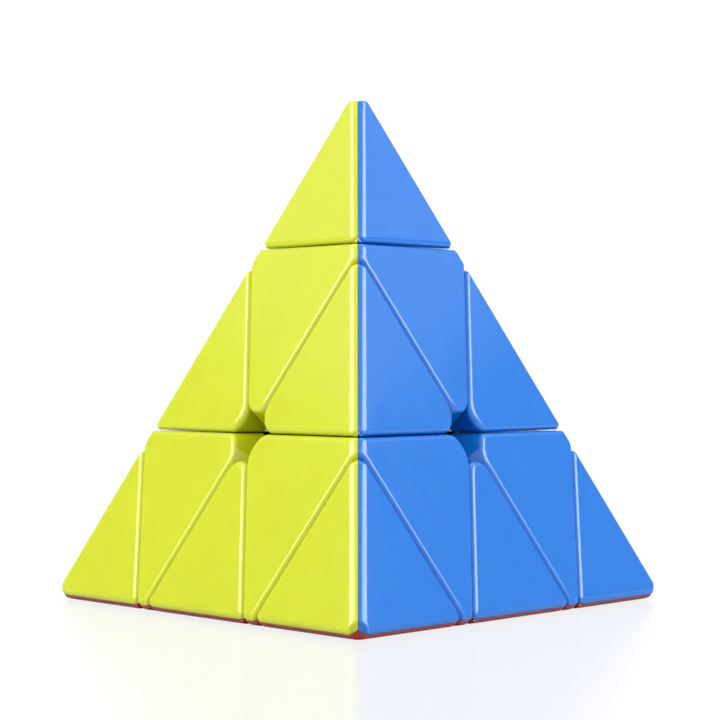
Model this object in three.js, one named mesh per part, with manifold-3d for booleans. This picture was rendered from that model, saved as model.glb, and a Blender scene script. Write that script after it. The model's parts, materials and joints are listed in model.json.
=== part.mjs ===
// Pyramid twisty puzzle: four tips, four axial pieces and six edge pieces around a ball core.
//
// Frame, in millimetres: the origin is the core's centre, where the four turning axes meet.
// +Z runs through the top corner, the front corner points toward -Y, and +X is to the right.
// Heights along a turning axis are measured from the origin. A face is named by its colour and
// lies opposite one corner, so every plane of the puzzle is square to one of the four axes.

import * as THREE from 'three';
import { ConvexGeometry } from 'three/addons/geometries/ConvexGeometry.js';
import { mergeVertices } from 'three/addons/utils/BufferGeometryUtils.js';
import Module from 'manifold-3d';

const wasm = await Module();
wasm.setup();

// ---- outer form
const edgeLength = 103.5;         // between sharp corners, before they are flattened and rounded
const tipStandoff = 0.97;         // from the end of an edge piece up to the cut under the tip
const cornerFlat = 4.1;           // height cut off each sharp corner
const longEdgeRadius = 1.7;       // rounding along the six long edges
const spineRadius = 3.8;          // rounding along the hidden inner edge of an edge piece
const noseCut = 2.9;              // cut off an axial shell's nose beside the middle of a face
const roundingFlats = 3;          // flats that stand for each rounding
const ballSegments = 24;          // flats round a ball's equator
const ballRings = 14;             // and from pole to pole

// ---- fits
const turningGap = 0.3;           // between pieces that turn past each other
const seamGap = 0.1;              // between the colour shells of one piece
const seatGap = 0.2;              // between a shell and what carries it

// ---- shells
const shellWall = 1.8;

// ---- core and edge feet
const coreRadius = 8.2;
const bossWall = 1.7;             // round a screw
const bossStand = 1.2;            // above the ball
const footThickness = 3.75;
const footReach = 80;             // degrees from a turning axis to the far rim of a foot
const footWidth = 10.8;
const neckWidth = 7;
const footHeadThickness = 2.6;

// ---- screws and springs
const screwRadius = 1.5;
const screwStart = 2.6;           // height of the screw's point inside the core
const screwClearance = 0.25;
const screwHeadRadius = 3.4;
const screwHeadThickness = 2.2;
const driveWidth = 0.9;           // one bar of the cross recess
const driveDepth = 1.2;
const springWire = 0.7;
const springClearance = 0.85;     // between the screw and the coil
const springPitch = 1.5;

// ---- axial bases
const flangeThickness = 3.95;
const hubWall = 2.1;
const wellClearance = 1;          // round the screw's head
const wellSink = 0.3;             // of the well's floor below the flange's crown
const grooveDepth = 0.6;
const grooveHeight = 1.6;

// ---- tip stems
const journalClearance = 0.3;
const journalLength = 7.4;        // reach of the stem below the top of the hub
const stemClearance = 0.85;       // between the disc or post and the tip's walls
const stemDiscThickness = 1.4;
const stemPostRadius = 2.1;

// ---- derived: planes square to the turning axes
const inradius = edgeLength / Math.sqrt(24);
const cornerReach = 3 * inradius;
const layerPlane = inradius / 3;  // three layer cuts meet in the middle of each face
const edgeEnd = 5 * layerPlane;   // where two layer cuts meet on a long edge
const tipPlane = edgeEnd + tipStandoff;
const cornerTop = cornerReach - cornerFlat;
const halfGap = turningGap / 2;

// ---- derived: shells of the mechanism, from the core outward
const bossRadius = screwRadius + bossWall;
const bossHeight = coreRadius + bossStand;
const footInnerRadius = coreRadius + turningGap;
const footOuterRadius = footInnerRadius + footThickness;
const flangeInnerRadius = footOuterRadius + turningGap;
const flangeOuterRadius = flangeInnerRadius + flangeThickness;

// ---- derived: angles seen from the origin
const axisAngle = Math.acos(-1 / 3);
const layerAngle = Math.acos(layerPlane / flangeOuterRadius);
const gapAngle = turningGap / flangeOuterRadius;
const flangeAngle = axisAngle - layerAngle - gapAngle;
const footReachAngle = THREE.MathUtils.degToRad(footReach);
const footAngle = footReachAngle - turningGap / footOuterRadius;
const edgeLean = axisAngle / 2;   // from a turning axis to the middle of an edge piece

// ---- derived: the head of an edge foot, square, halfway between its shells' inner walls
const footHeadMiddle = (layerPlane + halfGap + inradius) / 2 / Math.cos(edgeLean);
const footHeadSeat = footHeadMiddle - footHeadThickness / 2;
const footHeadTop = footHeadMiddle + footHeadThickness / 2;
const footHeadRoom = Math.cos(edgeLean) * footHeadSeat - layerPlane - halfGap - shellWall;
const footHeadWidth = 2 * (footHeadRoom - seatGap) / Math.sin(edgeLean);

// ---- derived: what stands on a turning axis
const stalkRadius = footInnerRadius * Math.sin(axisAngle - footReachAngle) - turningGap;
const hubBore = screwHeadRadius + wellClearance;
const hubRadius = hubBore + hubWall;
const hubTop = tipPlane - halfGap - shellWall - seatGap;
const wellFloorHeight = flangeOuterRadius - wellSink;
const journalRadius = hubBore - journalClearance;
const journalBottom = hubTop - journalLength;
const screwHeadTop = journalBottom - turningGap;
const screwHeadBottom = screwHeadTop - screwHeadThickness;
const springRadius = screwRadius + springClearance + springWire / 2;
const discBottom = tipPlane + halfGap + shellWall + seatGap;
const discTop = discBottom + stemDiscThickness;
const discRadius = roomInside(discTop) - stemClearance;
const postTop = heightOfRoom(stemPostRadius + stemClearance);

// ---- the four corners, their axes, and the colour of the face opposite each
const axes = {
  top: new THREE.Vector3(0, 0, 1),
  front: new THREE.Vector3(0, -Math.sqrt(8) / 3, -1 / 3),
  right: new THREE.Vector3(Math.sqrt(2 / 3), Math.sqrt(2) / 3, -1 / 3),
  left: new THREE.Vector3(-Math.sqrt(2 / 3), Math.sqrt(2) / 3, -1 / 3),
};
const corners = Object.keys(axes);
const faceColour = { top: 'red', front: 'green', right: 'yellow', left: 'blue' };

const shellMaterials = {
  yellow: new THREE.MeshStandardMaterial({ color: 0xd8ec3a, roughness: 0.28, metalness: 0 }),
  blue: new THREE.MeshStandardMaterial({ color: 0x3783e7, roughness: 0.28, metalness: 0 }),
  red: new THREE.MeshStandardMaterial({ color: 0xb01818, roughness: 0.28, metalness: 0 }),
  green: new THREE.MeshStandardMaterial({ color: 0x2fae4a, roughness: 0.28, metalness: 0 }),
};
const innerPlastic = new THREE.MeshStandardMaterial({ color: 0x2b2c2f, roughness: 0.45, metalness: 0 });
const steel = new THREE.MeshStandardMaterial({ color: 0xb8bcc2, roughness: 0.3, metalness: 1 });

// ---- solids

// A closed geometry as a solid, with shared vertices merged and faces pointing out.
function solid(geometry) {
  const plain = geometry.clone();
  plain.deleteAttribute('normal');
  plain.deleteAttribute('uv');
  const merged = mergeVertices(plain, 1e-4);
  const points = merged.attributes.position.array;
  const triangles = [];
  let volume = 0;
  for (let i = 0; i < merged.index.count; i += 3) {
    const [a, b, c] = [0, 1, 2].map((step) => merged.index.getX(i + step));
    if (a === b || b === c || c === a) continue;
    triangles.push([a, b, c]);
    const [p, q, s] = [a, b, c].map((v) => new THREE.Vector3().fromArray(points, 3 * v));
    volume += p.dot(q.cross(s));
  }
  const facing = volume < 0 ? triangles.map(([a, b, c]) => [a, c, b]) : triangles;
  return new wasm.Manifold(new wasm.Mesh({
    numProp: 3,
    vertProperties: Float32Array.from(points),
    triVerts: Uint32Array.from(facing.flat()),
  }));
}

function mesh(name, shape, material) {
  const result = shape.getMesh();
  const geometry = new THREE.BufferGeometry();
  geometry.setAttribute('position', new THREE.Float32BufferAttribute(result.vertProperties, 3));
  geometry.setIndex(Array.from(result.triVerts));
  const node = new THREE.Mesh(geometry, material);
  node.name = name;
  return node;
}

// Turn of the whole puzzle that carries the top corner to another corner.
function cornerTurn(corner) {
  if (corner === 'top') return new THREE.Quaternion();
  const pivot = corners[1 + (corners.indexOf(corner) % 3)];
  const turn = new THREE.Quaternion().setFromAxisAngle(axes[pivot], 2 * Math.PI / 3);
  const carried = new THREE.Vector3(0, 0, 1).applyQuaternion(turn);
  return carried.distanceTo(axes[corner]) < 1e-6 ? turn : turn.invert();
}

// A solid of revolution from [radius, height] points, standing on the +Z axis.
function revolved(profile, segments) {
  const points = profile.map(([radius, height]) => new THREE.Vector2(radius, height));
  const geometry = new THREE.LatheGeometry(points, segments);
  geometry.rotateX(Math.PI / 2);
  return solid(geometry);
}

function along(shape, axis) {
  const turn = new THREE.Quaternion().setFromUnitVectors(new THREE.Vector3(0, 0, 1), axis);
  return shape.transform(new THREE.Matrix4().makeRotationFromQuaternion(turn).toArray());
}

function ball(radius) {
  return solid(new THREE.SphereGeometry(radius, ballSegments, ballRings));
}

// A ball whose flats, not only its corners, stand clear of a radius.
function roomBall(radius) {
  return ball(radius / Math.cos(Math.PI / ballSegments) / Math.cos(Math.PI / 2 / ballRings));
}

function cylinder(radius, bottom, top, segments) {
  return revolved([[0, bottom], [radius, bottom], [radius, top], [0, top]], segments);
}

// Radius of the round space inside the outer walls, at a height on a turning axis.
function roomInside(height) {
  return (inradius - shellWall + height * Math.cos(axisAngle)) / Math.sin(axisAngle);
}

// Height on a turning axis where that space has a given radius.
function heightOfRoom(radius) {
  return (radius * Math.sin(axisAngle) - inradius + shellWall) / Math.cos(axisAngle);
}

// Points on an arc round the origin, as [radius, height], from one angle off the axis to another.
function arc(radius, from, to, steps) {
  const points = [];
  for (let i = 0; i <= steps; i += 1) {
    const angle = from + (to - from) * i / steps;
    points.push([radius * Math.sin(angle), radius * Math.cos(angle)]);
  }
  return points;
}

// ---- half-spaces, kept as a unit normal and the distance that points may reach along it

function below(corner, height) {
  return { normal: axes[corner].clone(), limit: height };
}

function above(corner, height) {
  return { normal: axes[corner].clone().negate(), limit: -height };
}

function faceWall(corner, inset) {
  return { normal: axes[corner].clone().negate(), limit: inradius - inset };
}

// Keeps the points nearer to one face than to the other, short of their seam.
function sideOf(faceCorner, otherCorner) {
  const normal = axes[faceCorner].clone().sub(axes[otherCorner]).normalize();
  return { normal, limit: -seamGap / 2 };
}

// Flats tangent to the rounding of the edge where two half-spaces meet.
function rounding(first, second, radius) {
  const angle = first.normal.angleTo(second.normal);
  const cosine = Math.cos(angle);
  const scale = 1 / (1 - cosine * cosine);
  const a = (first.limit - radius - cosine * (second.limit - radius)) * scale;
  const b = (second.limit - radius - cosine * (first.limit - radius)) * scale;
  const centre = first.normal.clone().multiplyScalar(a).addScaledVector(second.normal, b);
  const flats = [];
  for (let i = 1; i <= roundingFlats; i += 1) {
    const share = i / (roundingFlats + 1);
    const normal = first.normal.clone().multiplyScalar(Math.sin((1 - share) * angle));
    normal.addScaledVector(second.normal, Math.sin(share * angle)).normalize();
    flats.push({ normal, limit: normal.dot(centre) + radius });
  }
  return flats;
}

// The convex solid inside every half-space of a list.
function inside(spaces) {
  const vertices = [];
  for (let i = 0; i < spaces.length; i += 1) {
    for (let j = i + 1; j < spaces.length; j += 1) {
      for (let k = j + 1; k < spaces.length; k += 1) {
        const point = meeting(spaces[i], spaces[j], spaces[k]);
        if (!point) continue;
        const kept = spaces.every(({ normal, limit }) => normal.dot(point) < limit + 1e-7);
        if (kept && vertices.every((other) => other.distanceTo(point) > 1e-4)) vertices.push(point);
      }
    }
  }
  return solid(new ConvexGeometry(vertices));
}

// Where three planes meet, or null where they don't meet in one point.
function meeting(a, b, c) {
  const bc = b.normal.clone().cross(c.normal);
  const size = a.normal.dot(bc);
  if (Math.abs(size) < 1e-6) return null;
  const ca = c.normal.clone().cross(a.normal);
  const ab = a.normal.clone().cross(b.normal);
  return bc.multiplyScalar(a.limit)
    .addScaledVector(ca, b.limit)
    .addScaledVector(ab, c.limit)
    .divideScalar(size);
}

function others(...named) {
  return corners.filter((corner) => !named.includes(corner));
}

// ---- tips

// The hollow inside a tip, shared by its three shells.
function tipHollow(corner) {
  return inside([
    above(corner, tipPlane + halfGap + shellWall),
    below(corner, cornerTop - shellWall),
    ...others(corner).map((other) => faceWall(other, shellWall)),
  ]);
}

function tipShell(corner, face, hollow) {
  const [first, second] = others(corner, face);
  const outer = inside([
    above(corner, tipPlane + halfGap),
    below(corner, cornerTop),
    faceWall(face, 0),
    ...rounding(faceWall(face, 0), faceWall(first, 0), longEdgeRadius),
    ...rounding(faceWall(face, 0), faceWall(second, 0), longEdgeRadius),
    sideOf(face, first),
    sideOf(face, second),
  ]);
  const hole = cylinder(journalRadius + seatGap, tipPlane - shellWall, tipPlane + 2 * shellWall, 24);
  return outer.subtract(hollow).subtract(along(hole, axes[corner]));
}

// Journal with a snap bead at its foot, a disc over the shells' floor and a post up the middle.
function tipStem() {
  const beadMiddle = journalBottom + grooveHeight;
  const beadRadius = journalRadius + grooveDepth - 0.1;
  const beadHalf = grooveHeight / 2 - 0.3;
  return revolved([
    [0, journalBottom],
    [journalRadius - 0.6, journalBottom],
    [journalRadius, beadMiddle - beadHalf],
    [beadRadius, beadMiddle],
    [journalRadius, beadMiddle + beadHalf],
    [journalRadius, discBottom],
    [discRadius, discBottom],
    [discRadius, discTop],
    [stemPostRadius, discTop],
    [stemPostRadius, postTop - 0.6],
    [stemPostRadius - 0.6, postTop],
    [0, postTop],
  ], 20);
}

// ---- axial pieces

// The hollow inside an axial piece, open toward the core.
function axialHollow(corner) {
  return inside([
    below(corner, tipPlane - halfGap - shellWall),
    above(corner, 0),
    ...others(corner).map((other) => below(other, layerPlane - halfGap - shellWall)),
    ...others(corner).map((other) => faceWall(other, shellWall)),
  ]);
}

function axialShell(corner, face, hollow) {
  const [first, second] = others(corner, face);
  const nose = axes[first].clone().add(axes[second]);
  const noseReach = 2 * layerPlane / nose.length() - noseCut;
  const outer = inside([
    below(corner, tipPlane - halfGap),
    above(corner, layerPlane + halfGap),
    below(first, layerPlane - halfGap),
    below(second, layerPlane - halfGap),
    faceWall(face, 0),
    ...rounding(faceWall(face, 0), faceWall(first, 0), longEdgeRadius),
    ...rounding(faceWall(face, 0), faceWall(second, 0), longEdgeRadius),
    { normal: nose.normalize(), limit: noseReach },
    sideOf(face, first),
    sideOf(face, second),
  ]);
  const hole = cylinder(journalRadius + seatGap, hubTop - 1, tipPlane + 1, 24);
  const flangeRoom = roomBall(flangeOuterRadius + seatGap);
  return outer.subtract(hollow).subtract(flangeRoom).subtract(along(hole, axes[corner]));
}

// Stalk, capture flange and hub in one, bored for the screw, its spring and the tip's journal.
function axialBase() {
  const bore = screwRadius + screwClearance;
  const grooveMiddle = journalBottom + grooveHeight;
  const grooveHalf = grooveHeight / 2;
  return revolved([
    [bore, bossHeight + seatGap],
    [stalkRadius, bossHeight + seatGap],
    ...arc(flangeInnerRadius, Math.asin(stalkRadius / flangeInnerRadius), flangeAngle, 3),
    ...arc(flangeOuterRadius, flangeAngle, Math.asin(hubRadius / flangeOuterRadius), 3),
    [hubRadius, hubTop],
    [hubBore, hubTop],
    [hubBore, grooveMiddle + grooveHalf],
    [hubBore + grooveDepth, grooveMiddle],
    [hubBore, grooveMiddle - grooveHalf],
    [hubBore, wellFloorHeight],
    [bore, wellFloorHeight],
    [bore, bossHeight + seatGap],
  ], 24);
}

// ---- screws and springs

function screw() {
  const body = revolved([
    [0, screwStart],
    [screwRadius - 0.5, screwStart],
    [screwRadius, screwStart + 0.8],
    [screwRadius, screwHeadBottom],
    [screwHeadRadius, screwHeadBottom],
    [screwHeadRadius, screwHeadTop - 0.6],
    [screwHeadRadius - 0.7, screwHeadTop],
    [0, screwHeadTop],
  ], 18);
  const bar = new THREE.BoxGeometry(2.6 * screwRadius, driveWidth, 2 * driveDepth);
  bar.translate(0, 0, screwHeadTop);
  const crossBar = bar.clone().rotateZ(Math.PI / 2);
  return body.subtract(solid(bar)).subtract(solid(crossBar));
}

class Helix extends THREE.Curve {
  constructor(radius, bottom, top, turns) {
    super();
    Object.assign(this, { radius, bottom, top, turns });
  }

  getPoint(t, target = new THREE.Vector3()) {
    const angle = 2 * Math.PI * this.turns * t;
    const height = this.bottom + (this.top - this.bottom) * t;
    return target.set(this.radius * Math.cos(angle), this.radius * Math.sin(angle), height);
  }
}

// Compression spring between the well's floor and the screw's head.
function spring() {
  const bottom = wellFloorHeight + springWire / 2 + 0.1;
  const top = screwHeadBottom - springWire / 2 - 0.1;
  const turns = Math.max(1, Math.floor((top - bottom) / springPitch));
  const section = new THREE.Shape();
  section.absarc(0, 0, springWire / 2, 0, 2 * Math.PI);
  return solid(new THREE.ExtrudeGeometry(section, {
    curveSegments: 3,
    steps: 12 * turns,
    bevelEnabled: false,
    extrudePath: new Helix(springRadius, bottom, top, turns),
  }));
}

// ---- edge pieces

// Box in an edge piece's own directions: along its long edge, along its spine, and outward.
function edgeBox(ends, length, width, bottom, top) {
  const [a, b] = ends;
  const run = axes[a].clone().sub(axes[b]).normalize();
  const outward = axes[a].clone().add(axes[b]).normalize();
  const side = outward.clone().cross(run);
  const geometry = new THREE.BoxGeometry(length, width, top - bottom);
  geometry.translate(0, 0, (bottom + top) / 2);
  geometry.applyMatrix4(new THREE.Matrix4().makeBasis(run, side, outward));
  return solid(geometry);
}

// Half the thickness that keeps a neck clear of the flanges on both sides of it.
function neckHalfThickness() {
  const reach = Math.hypot(footOuterRadius, neckWidth / 2);
  const rim = Math.cos(layerAngle - gapAngle) * reach;
  return (Math.cos(edgeLean) * footOuterRadius - rim) / Math.sin(edgeLean);
}

function edgeShell(ends, face) {
  const other = others(...ends, face)[0];
  const walls = ends.map((end) => above(end, layerPlane + halfGap));
  const outer = inside([
    ...walls,
    ...rounding(...walls, spineRadius),
    faceWall(face, 0),
    ...rounding(faceWall(face, 0), faceWall(other, 0), longEdgeRadius),
    sideOf(face, other),
  ]);
  const hollow = inside([
    ...ends.map((end) => above(end, layerPlane + halfGap + shellWall)),
    faceWall(face, shellWall),
    faceWall(other, shellWall),
  ]);
  const thickness = 2 * (neckHalfThickness() + seatGap);
  const slot = edgeBox(ends, thickness, neckWidth + 2 * seatGap, footInnerRadius, footHeadSeat);
  const footRoom = roomBall(footOuterRadius + seatGap);
  return outer.subtract(hollow).subtract(slot).subtract(footRoom);
}

// Foot caught under two flanges, with a neck up into the edge piece and a head that its shells grip.
function edgeFoot(ends) {
  const reach = 2 * footOuterRadius;
  const rim = [reach * Math.sin(footAngle), reach * Math.cos(footAngle)];
  const cone = revolved([[0, 0], rim, [rim[0], reach], [0, reach]], 28);
  const plate = edgeBox(ends, 2 * footOuterRadius, footWidth, 0, footOuterRadius)
    .intersect(ball(footOuterRadius))
    .subtract(roomBall(footInnerRadius))
    .intersect(along(cone, axes[ends[0]]))
    .intersect(along(cone, axes[ends[1]]));
  const neck = edgeBox(ends, 2 * neckHalfThickness(), neckWidth, footInnerRadius + 1.5, footHeadMiddle);
  const head = edgeBox(ends, footHeadWidth, footHeadWidth, footHeadSeat, footHeadTop);
  return plate.add(neck).add(head);
}

// ---- core

function core() {
  let shape = ball(coreRadius);
  for (const corner of corners) {
    shape = shape.add(along(cylinder(bossRadius, 0, bossHeight, 20), axes[corner]));
  }
  for (const corner of corners) {
    const bore = cylinder(screwRadius + 0.1, screwStart - 0.5, bossHeight + 1, 18);
    shape = shape.subtract(along(bore, axes[corner]));
  }
  return shape;
}

// ---- assembly

function cornerGroup(corner) {
  const group = new THREE.Group();
  const turned = new THREE.Group();
  turned.quaternion.copy(cornerTurn(corner));
  turned.add(mesh(`${corner}_screw`, screw(), steel));
  turned.add(mesh(`${corner}_spring`, spring(), steel));
  turned.add(mesh(`${corner}_axial_base`, axialBase(), innerPlastic));
  turned.add(mesh(`${corner}_tip_stem`, tipStem(), innerPlastic));
  group.add(turned);
  const hollowInAxial = axialHollow(corner);
  const hollowInTip = tipHollow(corner);
  for (const face of others(corner)) {
    const colour = faceColour[face];
    const material = shellMaterials[colour];
    group.add(mesh(`${corner}_axial_shell_${colour}`, axialShell(corner, face, hollowInAxial), material));
    group.add(mesh(`${corner}_tip_shell_${colour}`, tipShell(corner, face, hollowInTip), material));
  }
  return group;
}

function edgeGroup(ends) {
  const group = new THREE.Group();
  const name = `${ends[0]}_${ends[1]}_edge`;
  group.add(mesh(`${name}_foot`, edgeFoot(ends), innerPlastic));
  for (const face of others(...ends)) {
    const colour = faceColour[face];
    group.add(mesh(`${name}_shell_${colour}`, edgeShell(ends, face), shellMaterials[colour]));
  }
  return group;
}

const puzzle = new THREE.Group();
puzzle.add(mesh('core', core(), innerPlastic));
corners.forEach((corner, index) => {
  puzzle.add(cornerGroup(corner));
  for (const other of corners.slice(index + 1)) {
    puzzle.add(edgeGroup([corner, other]));
  }
});

export default puzzle;
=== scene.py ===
import json
import math

import bmesh
import bpy
import numpy as np
from mathutils import Matrix, Vector

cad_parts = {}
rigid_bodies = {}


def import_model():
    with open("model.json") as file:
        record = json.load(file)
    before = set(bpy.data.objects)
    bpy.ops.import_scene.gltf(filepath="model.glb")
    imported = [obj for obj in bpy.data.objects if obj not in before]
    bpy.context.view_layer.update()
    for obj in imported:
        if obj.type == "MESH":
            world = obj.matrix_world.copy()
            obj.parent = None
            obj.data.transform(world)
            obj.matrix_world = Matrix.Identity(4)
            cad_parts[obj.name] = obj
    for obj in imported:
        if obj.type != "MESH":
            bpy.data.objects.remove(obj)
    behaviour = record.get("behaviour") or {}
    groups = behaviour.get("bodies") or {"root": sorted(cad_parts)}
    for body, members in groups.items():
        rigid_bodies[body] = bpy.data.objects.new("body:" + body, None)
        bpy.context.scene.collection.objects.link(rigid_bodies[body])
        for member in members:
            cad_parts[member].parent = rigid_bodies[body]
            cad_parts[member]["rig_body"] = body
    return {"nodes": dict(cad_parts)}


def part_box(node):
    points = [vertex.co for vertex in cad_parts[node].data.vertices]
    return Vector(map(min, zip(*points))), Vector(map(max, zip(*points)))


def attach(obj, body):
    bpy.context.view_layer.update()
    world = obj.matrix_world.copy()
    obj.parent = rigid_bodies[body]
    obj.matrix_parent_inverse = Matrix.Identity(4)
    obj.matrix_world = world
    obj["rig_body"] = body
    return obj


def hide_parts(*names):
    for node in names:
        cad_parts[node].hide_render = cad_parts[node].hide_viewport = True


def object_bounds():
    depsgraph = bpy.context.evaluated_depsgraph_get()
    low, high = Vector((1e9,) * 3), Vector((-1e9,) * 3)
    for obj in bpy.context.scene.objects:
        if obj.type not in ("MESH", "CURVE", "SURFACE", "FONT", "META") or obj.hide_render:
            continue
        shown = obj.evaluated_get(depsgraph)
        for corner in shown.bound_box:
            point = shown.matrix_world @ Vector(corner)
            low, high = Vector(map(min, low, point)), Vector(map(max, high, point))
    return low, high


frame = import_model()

cadLow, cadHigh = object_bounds()
print("frame loaded:", len(frame["nodes"]), "nodes")

# Lengths are in millimetres from here on, and a mesh goes to metres when it is made.
millimetre = 0.001
cornerAxes = {
    "top": np.array((0.0, 0.0, 1.0)),
    "front": np.array((0.0, -math.sqrt(8) / 3, -1 / 3)),
    "right": np.array((math.sqrt(2 / 3), math.sqrt(2) / 3, -1 / 3)),
    "left": np.array((-math.sqrt(2 / 3), math.sqrt(2) / 3, -1 / 3)),
}
faceColours = {"top": "red", "front": "green", "right": "yellow", "left": "blue"}  # by the corner across
cornerOrder = list(cornerAxes)

# The cuts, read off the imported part: face planes, layer planes, tip planes and the flats at the corners.
faceDistance = -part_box("front_tip_shell_red")[0].z / millimetre
layerDistance = faceDistance / 3
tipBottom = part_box("top_tip_shell_yellow")[0].z / millimetre
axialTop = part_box("top_axial_shell_yellow")[1].z / millimetre
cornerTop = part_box("top_tip_shell_yellow")[1].z / millimetre
tipDistance = (tipBottom + axialTop) / 2
leanFactor = 3 / (2 * math.sqrt(2))   # in-plane length for each unit along a corner's axis
wallSlope = leanFactor / 3            # sideways run of a seam wall for each unit of depth
splitSlope = math.sqrt(2)             # the same for the plane that halves a long edge
print("cuts at", round(layerDistance, 3), round(tipDistance, 3))

# What all the moulded shells share.
shellValues = {
    "wall": 1.8,            # thickness behind the face and along the seams
    "splitWall": 0.8,       # thickness along the plane that halves a long edge
    "splitGap": 0.03,       # half the gap between two colours on a long edge
    "longEdgeRadius": 1.6,  # rounding of the long edges
    "seamRadius": 0.85,     # rounding beside the seams
    "seamHalfGap": 0.07,    # half the gap between pieces that turn past each other
    "cornerFade": 0.9,      # depth in which a corner beside a long edge comes to a point
    "closingDepth": 5.9,    # depth at which the corners round the opening have come together
    "closedRadius": 0.4,
    "crown": 0.04,          # how far the middle of a face stands proud
    "filletRings": 16,
    "splitRing": 11,        # the ring on which a long edge's rounding meets the other colour
    "arcSteps": 7,          # for each sixth of a turn
    "sideSteps": 7,         # points along a straight side
    "leastRadius": 0.12,    # no corner is sharper than this
    "pointRadius": 0.03,    # except one that has come to a point
    "supportInset": 0.22,   # a ring just inside the border keeps the face flat up to it
    "smoothAngle": 32,      # degrees
    "endSamples": 260,      # steps in which a wall looks for its end
    "mergeDistance": 0.0005,
    "capRings": (0.2, 0.42, 0.64, 0.84, 0.95, 1.0),   # shares of the way from the middle to the border
    "wallRings": (0.05, 0.3, 0.65, 1.0),              # shares of the way down a wall
    "innerRings": (1.0, 0.6, 0.25, 0.0),              # the same inside, from the rim up
    "ceilingRings": (0.6, 0.25),
}
# The depth at which a rounded long edge changes colour.
splitDepth = shellValues["longEdgeRadius"] * (1 - math.sqrt(1 / 3))


def faceFrame(face, upward):
    # Right, up and outward directions of a face, with up toward one of its corners.
    outward = -cornerAxes[face]
    up = cornerAxes[upward] + cornerAxes[face] / 3
    up = up / np.linalg.norm(up)
    return np.cross(up, outward), up, outward


def sideAngle(corner, axes):
    # Angle of a corner's direction in the plane of the face.
    return math.atan2(cornerAxes[corner] @ axes[1], cornerAxes[corner] @ axes[0])


def belowSide(kind, corner, limit, axes, radius):
    # Wall that keeps a piece below a cut across a corner's axis: it runs outward with depth.
    return {"kind": kind, "angle": sideAngle(corner, axes),
            "base": (limit - layerDistance) * leanFactor, "slope": wallSlope,
            "radius": radius, "split": False}


def aboveSide(kind, corner, limit, axes, radius):
    # Wall that keeps a piece above such a cut: it runs inward with depth.
    return {"kind": kind, "angle": sideAngle(corner, axes) + math.pi,
            "base": -(limit - layerDistance) * leanFactor, "slope": -wallSlope,
            "radius": radius, "split": False}


def longEdgeSide(corner, axes):
    # The long edge away from a corner: a rounding down to the plane that halves the edge.
    return {"kind": "edge", "angle": sideAngle(corner, axes) + math.pi,
            "base": splitSlope * faceDistance, "slope": -wallSlope,
            "radius": shellValues["longEdgeRadius"], "split": True}


def outlineStrings(angles):
    # One entry for each point round the outline: the two corners it lies between, its share of the way
    # from the first to the second, and the direction in which it stands off the corner's centre.
    count = len(angles)
    turns = np.mod(np.roll(angles, -1) - angles, 2 * np.pi)
    firsts, seconds, shares, directions = [], [], [], []
    for corner in range(count):
        steps = shellValues["arcSteps"] * int(round(turns[corner] / (np.pi / 3)))
        arc = angles[corner] + turns[corner] * np.linspace(0, 1, steps + 1)
        side = np.linspace(0, 1, shellValues["sideSteps"] + 2)[1:-1]
        firsts += [np.full(len(arc), corner), np.full(len(side), corner)]
        seconds += [np.full(len(arc), corner), np.full(len(side), (corner + 1) % count)]
        shares += [np.zeros(len(arc)), side]
        directions += [arc, np.full(len(side), angles[corner] + turns[corner])]
    return [np.concatenate(part) for part in (firsts, seconds, shares, directions)]


def sideOffsets(sides, depth, inset, hollow):
    # How far each side lies from the middle of the face, at every depth. A wall is a straight line. Near the
    # face it gives way to a circle that touches both, and a long edge's circle ends on the halving plane.
    shape = (len(sides),) + (1,) * depth.ndim
    base, slope, radius, split = (np.array([side[key] for side in sides]).reshape(shape)
                                  for key in ("base", "slope", "radius", "split"))
    lean = np.sqrt(1 + slope ** 2)
    wall = base + slope * depth
    halving = splitSlope * (faceDistance - depth)
    full = np.where(split, np.minimum(wall, halving), wall)
    if hollow:
        hollowWall = wall - shellValues["wall"] * lean
        hollowSplit = halving - shellValues["splitWall"] * math.sqrt(3)
        return np.where(split, hollowSplit, hollowWall), full
    arc = np.sqrt(np.maximum(radius ** 2 - (radius - depth) ** 2, 0))
    circle = base + slope * radius - radius * lean + arc
    rounded = np.where(depth < radius * (1 - slope / lean), circle, wall)
    divided = halving - shellValues["splitGap"] * math.sqrt(3)
    rounded = np.where(split, np.minimum(rounded, divided), rounded)
    return rounded - inset, full


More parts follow.
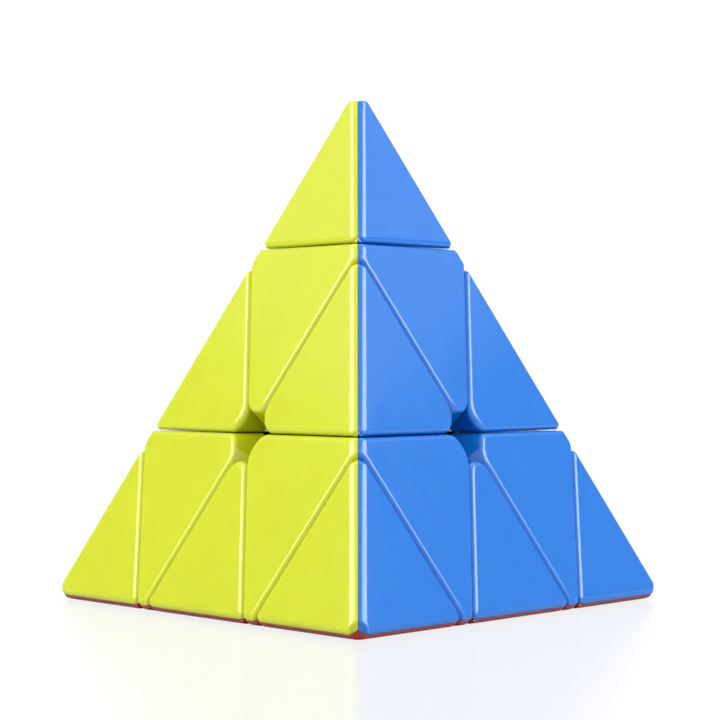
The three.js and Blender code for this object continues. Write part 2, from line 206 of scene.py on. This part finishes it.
def outlinePoints(shape, depth, inset=0.0, hollow=False):
    # Points of the outline at each depth, as in-plane coordinates. The centre of a corner is where its two
    # sides, moved in by the corner's radius, cross, and the outline goes round it at that radius. A corner
    # toward the middle of the face tightens steadily with depth. One beside a long edge comes to a point
    # along a quarter circle.
    sides, angles, radii = shape["sides"], shape["angles"], shape["radii"]
    offsets, full = sideOffsets(sides, depth, inset, hollow)
    drop = np.minimum(full - offsets, np.roll(full - offsets, -1, axis=0))
    turned = (-1,) + (1,) * depth.ndim
    closing = np.clip(depth / shellValues["closingDepth"], 0, 1) * shape["towardMiddle"].reshape(turned)
    cornerRadii = radii.reshape(turned) * (1 - closing) + shellValues["closedRadius"] * closing
    cornerRadii = np.maximum(cornerRadii - drop, shellValues["leastRadius"])
    past = np.clip((depth - splitDepth) / shellValues["cornerFade"], 0, 1)
    pointed = cornerRadii * (1 - np.sqrt(past * (2 - past))) + shellValues["pointRadius"]
    cornerRadii = np.where(shape["besideEdge"].reshape(turned), pointed, cornerRadii)
    for index, side in enumerate(sides):
        if side["kind"] in shape["shrinking"]:
            before, after = index - 1, (index + 1) % len(sides)
            radius = cornerRadii[index]
            x, y = crossing(offsets[before] - radius, offsets[after] - radius,
                            angles[before], angles[after])
            reach = x * math.cos(angles[index]) + y * math.sin(angles[index]) + radius
            offsets[index] = np.minimum(offsets[index], reach)
    nextOffsets, nextAngles = np.roll(offsets, -1, axis=0), np.roll(angles, -1)
    x, y = crossing(offsets - cornerRadii, nextOffsets - cornerRadii,
                    angles.reshape(turned), nextAngles.reshape(turned))
    first, second, share, direction = shape["strings"]
    column = np.arange(len(first))
    along = []
    for corner in (first, second):
        reach = cornerRadii[corner, :, column].T
        along.append((x[corner, :, column].T + reach * np.cos(direction),
                      y[corner, :, column].T + reach * np.sin(direction)))
    return np.stack([(1 - share) * along[0][part] + share * along[1][part] for part in (0, 1)], -1)


def crossing(firstOffset, secondOffset, firstAngle, secondAngle):
    # Where two lines cross, each given by its distance from the middle and the angle of its normal.
    spread = np.sin(secondAngle - firstAngle)
    x = (firstOffset * np.sin(secondAngle) - secondOffset * np.sin(firstAngle)) / spread
    y = (secondOffset * np.cos(firstAngle) - firstOffset * np.cos(secondAngle)) / spread
    return x, y


def toSpace(axes, flat, depth):
    # Face coordinates and a depth below the face, as points of the puzzle.
    height = (faceDistance - depth)[..., None]
    return flat[..., :1] * axes[0] + flat[..., 1:] * axes[1] + height * axes[2]


def endDepths(shape, axes, start, limit, blocked, hollow):
    # How deep each string of the wall goes before it meets something inside, or the limit.
    levels = np.linspace(start, limit, shellValues["endSamples"])
    depth = np.repeat(levels[:, None], len(shape["strings"][0]), axis=1)
    points = toSpace(axes, outlinePoints(shape, depth, hollow=hollow), depth)
    stopped = blocked(points)
    row = np.where(stopped.any(0), np.maximum(stopped.argmax(0) - 1, 0), len(levels) - 1)
    return levels[row]


def shellSurface(face, upward, sides, radii, shrinking, limit, blocked):
    # A hollow cap as one closed grid: rings go out from the middle of the face, round its border, down the
    # walls, across the rim, up inside and back to the middle of the ceiling. The sides named in shrinking
    # give way where the two beside them close in.
    axes = faceFrame(face, upward)
    order = np.argsort([side["angle"] % (2 * np.pi) for side in sides])
    sides = [sides[index] for index in order]
    angles = np.array([side["angle"] % (2 * np.pi) for side in sides])
    kinds = [side["kind"] for side in sides]
    pairs = [tuple(sorted((kind, kinds[(i + 1) % len(kinds)]))) for i, kind in enumerate(kinds)]
    shape = {"sides": sides, "angles": angles, "radii": np.array([radii[pair] for pair in pairs]),
             "besideEdge": np.array(["edge" in pair for pair in pairs]),
             "towardMiddle": np.array([pair in (("flank", "flank"), ("flank", "nose")) for pair in pairs]),
             "shrinking": shrinking, "strings": outlineStrings(angles)}
    count = len(shape["strings"][0])
    values = shellValues

    filletEnd = splitDepth * (values["filletRings"] / values["splitRing"]) ** 2
    fillet = filletEnd * (np.arange(values["filletRings"] + 1) / values["filletRings"]) ** 2
    ends = endDepths(shape, axes, filletEnd, limit, blocked, False)
    lower = filletEnd + (ends - filletEnd) * np.array(values["wallRings"])[:, None]
    outerDepth = np.concatenate([np.repeat(fillet[:, None], count, axis=1), lower])
    outer = toSpace(axes, outlinePoints(shape, outerDepth), outerDepth)

    flat = np.zeros((1, count))
    inset = outlinePoints(shape, flat, inset=values["supportInset"])
    middle = inset[0].mean(0)
    spread = np.array(values["capRings"])[:, None]
    crown = -values["crown"] * (1 - spread ** 2) * np.ones((1, count))
    cap = toSpace(axes, middle + spread[..., None] * (inset - middle), crown)
    pole = toSpace(axes, middle[None], np.array([-values["crown"]]))

    hollowEnds = np.minimum(endDepths(shape, axes, values["wall"], limit, blocked, True), ends)
    rise = values["wall"] + (hollowEnds - values["wall"]) * np.array(values["innerRings"])[:, None]
    inner = outlinePoints(shape, rise, hollow=True)
    hollowMiddle = inner[-1].mean(0)
    shares = np.array(values["ceilingRings"])[:, None, None]
    ceiling = hollowMiddle + shares * (inner[-1] - hollowMiddle)
    ceilingDepth = np.full(ceiling.shape[:2], values["wall"])
    inside = np.concatenate([toSpace(axes, inner, rise), toSpace(axes, ceiling, ceilingDepth)])
    innerPole = toSpace(axes, hollowMiddle[None], np.array([values["wall"]]))
    return np.concatenate([cap, outer, inside]), pole, innerPole


def meshFromRings(name, rings, pole, innerPole):
    # Quads between neighbouring rings, and a fan of triangles at each end. Where a side has shrunk to
    # nothing its points fall together, so they are merged.
    rows, count = rings.shape[:2]
    points = np.concatenate([rings.reshape(-1, 3), pole, innerPole]) * millimetre
    index = np.arange(rows * count).reshape(rows, count)
    right = np.roll(index, -1, axis=1)
    quads = np.stack([index[:-1], index[1:], right[1:], right[:-1]], -1).reshape(-1, 4)
    top = np.stack([np.full(count, rows * count), index[0], right[0]], -1)
    bottom = np.stack([right[-1], index[-1], np.full(count, rows * count + 1)], -1)
    mesh = bpy.data.meshes.new(name)
    mesh.from_pydata(points.tolist(), [], quads.tolist() + top.tolist() + bottom.tolist())
    mesh.update()
    joiner = bmesh.new()
    joiner.from_mesh(mesh)
    bmesh.ops.remove_doubles(joiner, verts=joiner.verts, dist=shellValues["mergeDistance"] * millimetre)
    joiner.to_mesh(mesh)
    joiner.free()
    mesh.shade_smooth()
    mesh.set_sharp_from_angle(angle=math.radians(shellValues["smoothAngle"]))
    piece = bpy.data.objects.new(name, mesh)
    bpy.context.scene.collection.objects.link(piece)
    return piece


def nodePoints(node):
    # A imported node's vertices, in millimetres.
    mesh = frame["nodes"][node].data
    points = np.zeros(len(mesh.vertices) * 3)
    mesh.vertices.foreach_get("co", points)
    return points.reshape(-1, 3) / millimetre


# Materials.

def addNode(tree, kind, values=None, **settings):
    node = tree.nodes.new(kind)
    for key, value in settings.items():
        setattr(node, key, value)
    for key, value in (values or {}).items():
        node.inputs[key].default_value = value
    return node


def startMaterial(name):
    # A material with its shader and object coordinates, ready for patterns.
    material = bpy.data.materials.new(name)
    material.use_nodes = True
    tree = material.node_tree
    shader = tree.nodes["Principled BSDF"]
    place = addNode(tree, "ShaderNodeTexCoord")
    return material, tree, shader, place.outputs["Object"]


def noise(tree, place, size, detail=3.0, rough=0.55):
    # A noise whose patches are about the size given, in millimetres.
    node = addNode(tree, "ShaderNodeTexNoise", {"Scale": 1000 / size, "Detail": detail, "Roughness": rough})
    tree.links.new(place, node.inputs["Vector"])
    return node.outputs["Fac"]


def spreadOf(tree, source, low, high, fromLow=0.3, fromHigh=0.7):
    # Stretches a pattern to a range.
    node = addNode(tree, "ShaderNodeMapRange", {"From Min": fromLow, "From Max": fromHigh,
                                                "To Min": low, "To Max": high})
    tree.links.new(source, node.inputs["Value"])
    return node.outputs["Result"]


def mixColours(tree, amount, first, second):
    node = addNode(tree, "ShaderNodeMix", data_type="RGBA")
    tree.links.new(amount, node.inputs["Factor"])
    node.inputs[6].default_value, node.inputs[7].default_value = first, second
    return node.outputs[2]


def linear(colour, scale=1.0):
    # Screen colour out of 255 to the renderer's linear colour, made lighter or darker.
    share = np.array(colour) / 255
    value = np.where(share <= 0.04045, share / 12.92, ((share + 0.055) / 1.055) ** 2.4) * scale
    return (*np.clip(value, 0, 1).tolist(), 1.0)


# Colours are as they look on the screen, out of 255.
plasticValues = {
    "yellow": {"colour": (177, 185, 10), "shade": (174, 182, 8), "reach": (1.0, 0.8, 0.3)},
    "blue": {"colour": (3, 101, 186), "shade": (2, 99, 183), "reach": (0.4, 0.7, 1.0)},
    "red": {"colour": (146, 2, 7), "shade": (142, 2, 6), "reach": (1.0, 0.4, 0.3)},
    "green": {"colour": (20, 140, 52), "shade": (18, 137, 49), "reach": (0.4, 1.0, 0.5)},
    "patchSize": 9.0,       # slow drift of the colour, mm
    "grainSize": 0.35,      # fine skin of the moulding, mm
    "grainDepth": 0.0012,   # mm
    "waveSize": 7.0,        # gentle sink marks, mm
    "waveDepth": 0.006,     # mm
    "roughness": (0.13, 0.19),
    "ior": 1.6,
    "shine": 0.55,          # strength of the mirror part
    "glow": 0.6,            # share of light that passes below the skin
    "glowReach": 2.5,       # mm
}


def bumpChain(tree, shader, layers):
    # Bump nodes one after the other, each from a height pattern and its depth in millimetres.
    last = None
    for height, depth in layers:
        node = addNode(tree, "ShaderNodeBump", {"Strength": 1.0, "Distance": depth * millimetre})
        tree.links.new(height, node.inputs["Height"])
        if last:
            tree.links.new(last, node.inputs["Normal"])
        last = node.outputs["Normal"]
    tree.links.new(last, shader.inputs["Normal"])


def makeShellPlastic(colour):
    material, tree, shader, place = startMaterial(colour + "_moulded_plastic")
    values = plasticValues
    drift = spreadOf(tree, noise(tree, place, values["patchSize"]), 0.0, 1.0)
    tone = values[colour]
    tree.links.new(mixColours(tree, drift, linear(tone["colour"]), linear(tone["shade"])),
                   shader.inputs["Base Color"])
    grain = noise(tree, place, values["grainSize"], detail=2.0)
    wave = noise(tree, place, values["waveSize"], detail=1.0)
    smudge = noise(tree, place, values["patchSize"] / 3)
    tree.links.new(spreadOf(tree, smudge, *values["roughness"]), shader.inputs["Roughness"])
    shader.inputs["IOR"].default_value = values["ior"]
    shader.inputs["Subsurface Weight"].default_value = values["glow"]
    shader.inputs["Subsurface Radius"].default_value = tone["reach"]
    shader.inputs["Specular IOR Level"].default_value = values["shine"]
    shader.inputs["Subsurface Scale"].default_value = values["glowReach"] * millimetre
    bumpChain(tree, shader, [(wave, values["waveDepth"]), (grain, values["grainDepth"])])
    return material


innerPlasticValues = {
    "light": (58, 59, 63),
    "dark": (44, 45, 48),
    "patchSize": 5.0,
    "grainSize": 0.4,
    "grainDepth": 0.01,
    "roughness": (0.38, 0.55),
}


def makeInnerPlastic():
    material, tree, shader, place = startMaterial("inner_moulded_plastic")
    values = innerPlasticValues
    drift = spreadOf(tree, noise(tree, place, values["patchSize"]), 0.0, 1.0)
    tree.links.new(mixColours(tree, drift, linear(values["light"]), linear(values["dark"])),
                   shader.inputs["Base Color"])
    tree.links.new(spreadOf(tree, noise(tree, place, values["patchSize"] / 4), *values["roughness"]),
                   shader.inputs["Roughness"])
    bumpChain(tree, shader, [(noise(tree, place, values["grainSize"]), values["grainDepth"])])
    return material


steelValues = {
    "screw_steel": {"light": (196, 199, 205), "dark": (158, 161, 168), "roughness": (0.22, 0.36)},
    "spring_steel": {"light": (184, 187, 192), "dark": (140, 143, 150), "roughness": (0.28, 0.42)},
    "patchSize": 1.2,
    "grainSize": 0.15,
    "grainDepth": 0.004,
}


def makeSteel(slot):
    material, tree, shader, place = startMaterial(slot + "_turned")
    values, tone = steelValues, steelValues[slot]
    drift = spreadOf(tree, noise(tree, place, values["patchSize"]), 0.0, 1.0)
    tree.links.new(mixColours(tree, drift, linear(tone["light"]), linear(tone["dark"])),
                   shader.inputs["Base Color"])
    tree.links.new(spreadOf(tree, noise(tree, place, values["patchSize"] / 2), *tone["roughness"]),
                   shader.inputs["Roughness"])
    shader.inputs["Metallic"].default_value = 1.0
    bumpChain(tree, shader, [(noise(tree, place, values["grainSize"]), values["grainDepth"])])
    return material


shellPlastics = {colour: makeShellPlastic(colour) for colour in faceColours.values()}
innerPlastic = makeInnerPlastic()
steels = {slot: makeSteel(slot) for slot in ("screw_steel", "spring_steel")}
print("materials made")


def addShell(node, colour, surface):
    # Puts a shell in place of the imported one: same body, same colour slot.
    piece = meshFromRings(node + "_moulded", *surface)
    piece.data.materials.append(shellPlastics[colour])
    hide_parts(node)
    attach(piece, frame["nodes"][node]["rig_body"])
    return piece


def axisDistance(points, corner):
    # Distance of points from a corner's axis.
    along = points @ cornerAxes[corner]
    return np.sqrt(np.maximum((points ** 2).sum(-1) - along ** 2, 0))


# Tips.

tipValues = {
    "baseCornerRadius": 1.1,   # where the seam meets a long edge
    "endCornerRadius": 0.75,   # beside the flat at the very corner
    "endRadius": 0.5,          # rounding of that flat
    "depth": 5.2,              # how deep its walls may go
    "stemRoom": 0.2,           # clear of the stem
}
stemRadius = max(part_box("top_tip_stem")[1].x, -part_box("top_tip_stem")[0].x) / millimetre


def makeTip(corner, face):
    axes = faceFrame(face, corner)
    others = [name for name in cornerOrder if name not in (corner, face)]
    base = tipDistance + shellValues["seamHalfGap"]
    sides = [aboveSide("base", corner, base, axes, shellValues["seamRadius"]),
             belowSide("end", corner, cornerTop, axes, tipValues["endRadius"])]
    sides += [longEdgeSide(other, axes) for other in others]
    radii = {("base", "edge"): tipValues["baseCornerRadius"],
             ("edge", "end"): tipValues["endCornerRadius"]}
    room = stemRadius + tipValues["stemRoom"]
    surface = shellSurface(face, corner, sides, radii, ("end",), tipValues["depth"],
                           lambda points: axisDistance(points, corner) < room)
    colour = faceColours[face]
    return addShell(f"{corner}_tip_shell_{colour}", colour, surface)


# Axial pieces.

axialValues = {
    "shoulderRadius": 1.2,      # upper corners, at the long edges
    "flankCornerRadius": 0.95,  # lower corners there
    "noseRadius": 3.4,          # toward the middle of the face
    "noseReach": 3.8,           # how far from the middle of the face it stops
    "noseSlope": 0.3,           # how much nearer it comes for each unit of depth
    "depth": 9.6,               # how deep its walls may go
    "hubRoom": 6.9,             # they end at the hub
    "flangeRoom": 16.75,        # and at the ball of the flanges
}


def makeAxial(corner, face):
    axes = faceFrame(face, corner)
    others = [name for name in cornerOrder if name not in (corner, face)]
    seam = shellValues["seamRadius"]
    layer = layerDistance - shellValues["seamHalfGap"]
    sides = [belowSide("crown", corner, tipDistance - shellValues["seamHalfGap"], axes, seam),
             {"kind": "nose", "angle": -math.pi / 2, "base": -axialValues["noseReach"],
              "slope": axialValues["noseSlope"], "radius": seam, "split": False}]
    sides += [belowSide("flank", other, layer, axes, seam) for other in others]
    sides += [longEdgeSide(other, axes) for other in others]
    radii = {("crown", "edge"): axialValues["shoulderRadius"],
             ("edge", "flank"): axialValues["flankCornerRadius"],
             ("flank", "nose"): axialValues["noseRadius"]}

    def blocked(points):
        ball = np.linalg.norm(points, axis=-1) < axialValues["flangeRoom"]
        return ball | (axisDistance(points, corner) < axialValues["hubRoom"])

    surface = shellSurface(face, corner, sides, radii, ("nose", "edge"), axialValues["depth"], blocked)
    colour = faceColours[face]
    return addShell(f"{corner}_axial_shell_{colour}", colour, surface)


# Edge pieces.

edgeValues = {
    "spineRadius": 3.9,    # toward the middle of the face
    "endRadius": 1.0,      # the two ends on the long edge
    "depth": 9.8,          # how deep its walls may go
    "ballRoom": 16.75,     # they end at the ball of the flanges
    "headRoom": 0.25,      # and clear of the foot's head
}


def makeEdgeHalf(ends, face):
    axes = faceFrame(face, ends[0])
    other = [name for name in cornerOrder if name not in (*ends, face)][0]
    seam = shellValues["seamRadius"]
    sides = [aboveSide("flank", end, layerDistance + shellValues["seamHalfGap"], axes, seam) for end in ends]
    sides += [longEdgeSide(other, axes)]
    radii = {("flank", "flank"): edgeValues["spineRadius"], ("edge", "flank"): edgeValues["endRadius"]}

    # The foot's head stands in the middle of the piece: a box along the edge, across it and outward.
    outward = cornerAxes[ends[0]] + cornerAxes[ends[1]]
    outward = outward / np.linalg.norm(outward)
    along = cornerAxes[ends[0]] - cornerAxes[ends[1]]
    along = along / np.linalg.norm(along)
    across = np.cross(outward, along)
    node = "_".join(ends) + "_edge"
    head = nodePoints(node + "_foot")
    head = head[head @ outward > edgeValues["ballRoom"]]
    reach = [np.abs(head @ axis).max() + edgeValues["headRoom"] for axis in (along, across, outward)]

    def blocked(points):
        ball = np.linalg.norm(points, axis=-1) < edgeValues["ballRoom"]
        box = ((np.abs(points @ along) < reach[0]) & (np.abs(points @ across) < reach[1])
               & (points @ outward < reach[2]))
        return ball | box

    surface = shellSurface(face, ends[0], sides, radii, (), edgeValues["depth"], blocked)
    colour = faceColours[face]
    return addShell(f"{node}_shell_{colour}", colour, surface)


for corner in cornerOrder:
    for face in cornerOrder:
        if face != corner:
            makeTip(corner, face)
            makeAxial(corner, face)
for first in range(4):
    for second in range(first + 1, 4):
        ends = (cornerOrder[first], cornerOrder[second])
        for face in cornerOrder:
            if face not in ends:
                makeEdgeHalf(ends, face)
print("shells made")

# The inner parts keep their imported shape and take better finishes.

for name, node in frame["nodes"].items():
    if name.endswith("_screw"):
        finish = steels["screw_steel"]
    elif name.endswith("_spring"):
        finish = steels["spring_steel"]
    else:
        finish = innerPlastic
    if "_shell_" not in name:
        node.data.materials.clear()
        node.data.materials.append(finish)
print("inner parts finished")

# Floor, light and camera.

# Light comes from the camera's side and from behind, by direction. Each soft box has its azimuth (0 is the
# camera's side, 90 its right), elevation, distance, width, height and power, in degrees, metres and watts.
stageValues = {
    "floorHalfWidth": 0.45,    # metres
    "floorDrop": 0.0001,       # metres below the puzzle
    "floorColour": (166, 166, 167),
    "floorRoughness": 0.2,
    "floorPolish": 0.2,
    "floorShown": 0.84,        # how bright the floor is to the eye
    "worldFront": 1.1,         # light that comes from the camera's side
    "worldBack": 0.3,          # and from behind the puzzle
    "worldTurn": 0.6,          # share of front or back at which it is all one or the other
    "backdrop": 1.1,           # straight behind it
    "backdropEdge": (0.78, 0.93),
    "sideBox": (82, 32, 0.8, 0.9, 0.62, 9.0),
    "rearBox": (128, 36, 0.8, 0.3, 0.5, 0.17),
    "overheadBox": (180, 66, 0.9, 0.9, 0.5, 2.0),
    "cameraPlace": (-0.0002, -0.5114, 0.0172),   # metres
    "cameraYaw": -0.001, "cameraPitch": 0.0024, "cameraRoll": -0.0002,   # radians
    "cameraLens": 162.0, "cameraSensor": 36.0,   # millimetres
    "cameraSight": (0.01, 100.0),                # metres
}


def makeFloor():
    size = stageValues["floorHalfWidth"]
    mesh = bpy.data.meshes.new("floor")
    corners = [(-size, -size, 0), (size, -size, 0), (size, size, 0), (-size, size, 0)]
    mesh.from_pydata(corners, [], [(0, 1, 2, 3)])
    mesh.transform(Matrix.Translation((0, 0, cadLow.z - stageValues["floorDrop"])))
    material = bpy.data.materials.new("pale_floor")
    material.use_nodes = True
    tree = material.node_tree
    tree.nodes.remove(tree.nodes["Principled BSDF"])
    matt = addNode(tree, "ShaderNodeBsdfDiffuse", {"Color": linear(stageValues["floorColour"])})
    polish = addNode(tree, "ShaderNodeBsdfGlossy", {"Roughness": stageValues["floorRoughness"]})
    brightness = stageValues["floorShown"] / (1 - stageValues["floorPolish"])
    shown = addNode(tree, "ShaderNodeEmission", {"Strength": brightness})
    path = addNode(tree, "ShaderNodeLightPath")
    ground = addNode(tree, "ShaderNodeMixShader")
    tree.links.new(path.outputs["Is Camera Ray"], ground.inputs["Fac"])
    tree.links.new(matt.outputs[0], ground.inputs[1])
    tree.links.new(shown.outputs[0], ground.inputs[2])
    both = addNode(tree, "ShaderNodeMixShader", {"Fac": stageValues["floorPolish"]})
    tree.links.new(ground.outputs[0], both.inputs[1])
    tree.links.new(polish.outputs[0], both.inputs[2])
    tree.links.new(both.outputs[0], tree.nodes["Material Output"].inputs["Surface"])
    mesh.materials.append(material)
    floor = bpy.data.objects.new("floor", mesh)
    bpy.context.scene.collection.objects.link(floor)


def makeLight(name, azimuth, elevation, distance, width, height, power):
    # A soft box that faces the puzzle, unseen by the camera itself.
    data = bpy.data.lights.new(name, "AREA")
    data.shape, data.size, data.size_y, data.energy = "RECTANGLE", width, height, power
    light = bpy.data.objects.new(name, data)
    a, e = math.radians(azimuth), math.radians(elevation)
    toward = Vector((math.sin(a) * math.cos(e), -math.cos(a) * math.cos(e), math.sin(e)))
    light.location = toward * distance
    light.visible_camera = False
    light.rotation_mode = "QUATERNION"
    light.rotation_quaternion = toward.to_track_quat("Z", "Y")
    bpy.context.scene.collection.objects.link(light)


def makeCamera():
    data = bpy.data.cameras.new("camera")
    data.lens, data.sensor_width = stageValues["cameraLens"], stageValues["cameraSensor"]
    data.clip_start, data.clip_end = stageValues["cameraSight"]
    camera = bpy.data.objects.new("camera", data)
    yaw, pitch, roll = (stageValues[key] for key in ("cameraYaw", "cameraPitch", "cameraRoll"))
    forward = Vector((-math.sin(yaw) * math.cos(pitch), math.cos(yaw) * math.cos(pitch), math.sin(pitch)))
    level = Vector((math.cos(yaw), math.sin(yaw), 0))
    upright = level.cross(forward)
    right = math.cos(roll) * level + math.sin(roll) * upright
    up = right.cross(forward)
    turn = Matrix((right, up, -forward)).transposed()
    camera.matrix_world = Matrix.Translation(stageValues["cameraPlace"]) @ turn.to_4x4()
    bpy.context.scene.collection.objects.link(camera)
    bpy.context.scene.camera = camera


def makeWorld():
    # White to the camera. As a light it fades from the front to the back, with a white backdrop straight
    # behind the puzzle.
    world = bpy.data.worlds.new("studio")
    world.use_nodes = True
    tree = world.node_tree
    direction = addNode(tree, "ShaderNodeTexCoord")
    parts = addNode(tree, "ShaderNodeSeparateXYZ")
    tree.links.new(direction.outputs["Generated"], parts.inputs["Vector"])
    turn = stageValues["worldTurn"]
    around = spreadOf(tree, parts.outputs["Y"], stageValues["worldFront"], stageValues["worldBack"], -turn, turn)
    behind = spreadOf(tree, parts.outputs["Y"], 0.0, stageValues["backdrop"], *stageValues["backdropEdge"])
    brighter = addNode(tree, "ShaderNodeMath", operation="MAXIMUM")
    tree.links.new(around, brighter.inputs[0])
    tree.links.new(behind, brighter.inputs[1])
    path = addNode(tree, "ShaderNodeLightPath")
    seen = addNode(tree, "ShaderNodeMix", {3: stageValues["backdrop"]}, data_type="FLOAT")
    tree.links.new(path.outputs["Is Camera Ray"], seen.inputs["Factor"])
    tree.links.new(brighter.outputs[0], seen.inputs[2])
    tree.links.new(seen.outputs[0], tree.nodes["Background"].inputs["Strength"])
    tree.nodes["Background"].inputs["Color"].default_value = (1, 1, 1, 1)
    bpy.context.scene.world = world


makeFloor()
for side, name in ((-1, "left"), (1, "right")):
    for kind in ("side", "rear"):
        azimuth, *rest = stageValues[kind + "Box"]
        makeLight(f"{name} {kind} box", side * azimuth, *rest)
makeLight("overhead box", *stageValues["overheadBox"])
makeCamera()
makeWorld()
bpy.context.scene.view_settings.view_transform = "Standard"
print("stage made")
